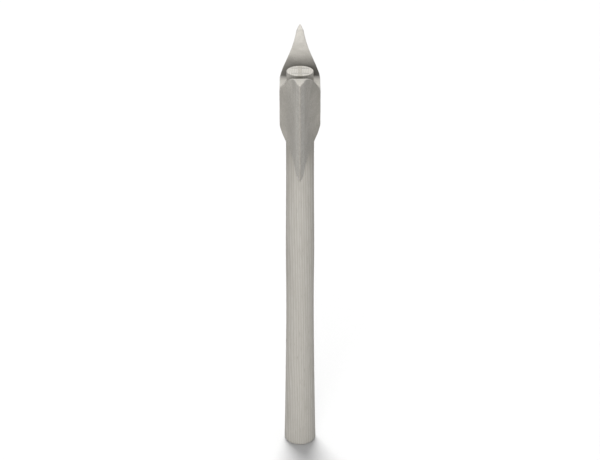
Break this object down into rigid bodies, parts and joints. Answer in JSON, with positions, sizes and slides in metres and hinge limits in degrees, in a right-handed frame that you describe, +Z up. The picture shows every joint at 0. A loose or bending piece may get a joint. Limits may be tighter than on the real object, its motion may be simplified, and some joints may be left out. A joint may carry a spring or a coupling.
{
  "type": "chipping hammer",
  "caption": "Forged steel head with a flared, straight-edged blade at each end, on a long straight round wooden handle fixed through its eye by wedges.",
  "frame": {"origin": "on the handle's axis, in the plane of the eye block's underside, where the head rests in its rack", "axes": "+Z up along the handle towards its top end; the blades point along -Y and +Y; +X across the head"},
  "size_m": [0.053, 0.211, 0.5935],
  "materials": {
    "forged_steel": "pale grey, dull forged skin with ground bevels along the cutting edges",
    "handle_wood": "pale, greyed, dry wood with fine straight grain",
    "wedge_wood": "pale end grain, cut flush with the handle",
    "wedge_steel": "dull steel, struck flush with the handle"
  },
  "bodies": {
    "root": {"head": "forged_steel", "handle": "handle_wood", "wooden_wedge": "wedge_wood", "steel_wedge_front": "wedge_steel", "steel_wedge_rear": "wedge_steel"}
  },
  "joints": []
}
